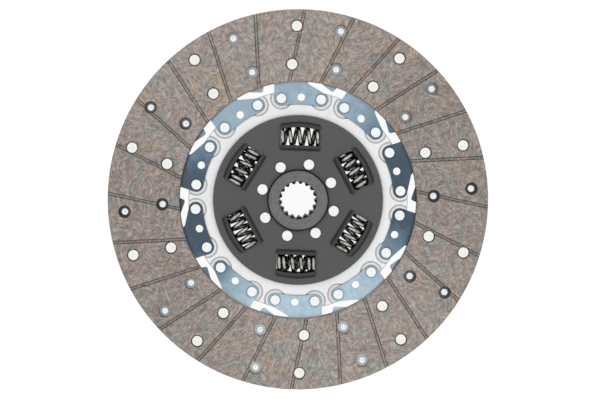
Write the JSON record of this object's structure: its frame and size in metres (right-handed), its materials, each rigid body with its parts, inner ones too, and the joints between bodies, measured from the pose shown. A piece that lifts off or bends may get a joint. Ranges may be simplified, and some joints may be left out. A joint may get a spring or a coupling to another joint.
{
  "type": "clutch disc",
  "caption": "Dry clutch disc with grooved riveted facings, blued cushion segments and a coil-sprung damper round a splined hub.",
  "frame": {"origin": "centre of the hub's long rear end face, on which the disc lies, at the middle of the overall box", "axes": "+Z along the shaft's axis towards the short front end of the hub and the side in the picture; +X and +Y in the disc's plane, as right and up in the picture"},
  "size_m": [0.325, 0.325, 0.038],
  "materials": {
    "hub_steel": "turned, light oil",
    "dark_plate": "matt phosphate",
    "silver_plate": "zinc plated",
    "friction_ring": "matt",
    "spring_steel": "satin",
    "facing": "woven resin composite, matt",
    "rivet_steel": "zinc plated",
    "facing_rivet": "bright",
    "blued_steel": "tempered blue",
    "coil_wire": "shot peened"
  },
  "bodies": {
    "hub_assembly": {"hub": "hub_steel", "front_side_plate": "dark_plate", "rear_side_plate": "dark_plate", "hub_rivets": "rivet_steel", "front_friction_ring": "friction_ring", "rear_friction_ring": "friction_ring", "disc_spring": "spring_steel"},
    "friction_disc": {"carrier_plate": "silver_plate", "cushion_segment_01": "blued_steel", "cushion_segment_02": "blued_steel", "cushion_segment_03": "blued_steel", "cushion_segment_04": "blued_steel", "cushion_segment_05": "blued_steel", "cushion_segment_06": "blued_steel", "cushion_segment_07": "blued_steel", "cushion_segment_08": "blued_steel", "cushion_segment_09": "blued_steel", "cushion_segment_10": "blued_steel", "neck_rivets": "rivet_steel", "front_facing": "facing", "rear_facing": "facing", "front_facing_rivets": "facing_rivet", "rear_facing_rivets": "facing_rivet"},
    "spring_set": {"damper_spring_1": "coil_wire", "damper_spring_2": "coil_wire", "damper_spring_3": "coil_wire", "damper_spring_4": "coil_wire", "damper_spring_5": "coil_wire", "damper_spring_6": "coil_wire", "inner_spring_1": "coil_wire", "inner_spring_3": "coil_wire", "inner_spring_5": "coil_wire"}
  },
  "joints": [
    {"name": "damper_twist", "type": "hinge", "parent": "hub_assembly", "child": "friction_disc", "pos_m": [0, 0, 0.0273], "axis": [0, 0, 1], "range_deg": [-7, 7], "stiffness_Nm_per_rad": 3000},
    {"name": "spring_follow", "type": "hinge", "parent": "hub_assembly", "child": "spring_set", "pos_m": [0, 0, 0.0273], "axis": [0, 0, 1], "range_deg": [-3.5, 3.5], "deforming": ["damper_spring_1", "damper_spring_2", "damper_spring_3", "damper_spring_4", "damper_spring_5", "damper_spring_6", "inner_spring_1", "inner_spring_3", "inner_spring_5"]}
  ],
  "couplings": [
    {"joint": "spring_follow", "follows": "damper_twist", "ratio": 0.5}
  ]
}
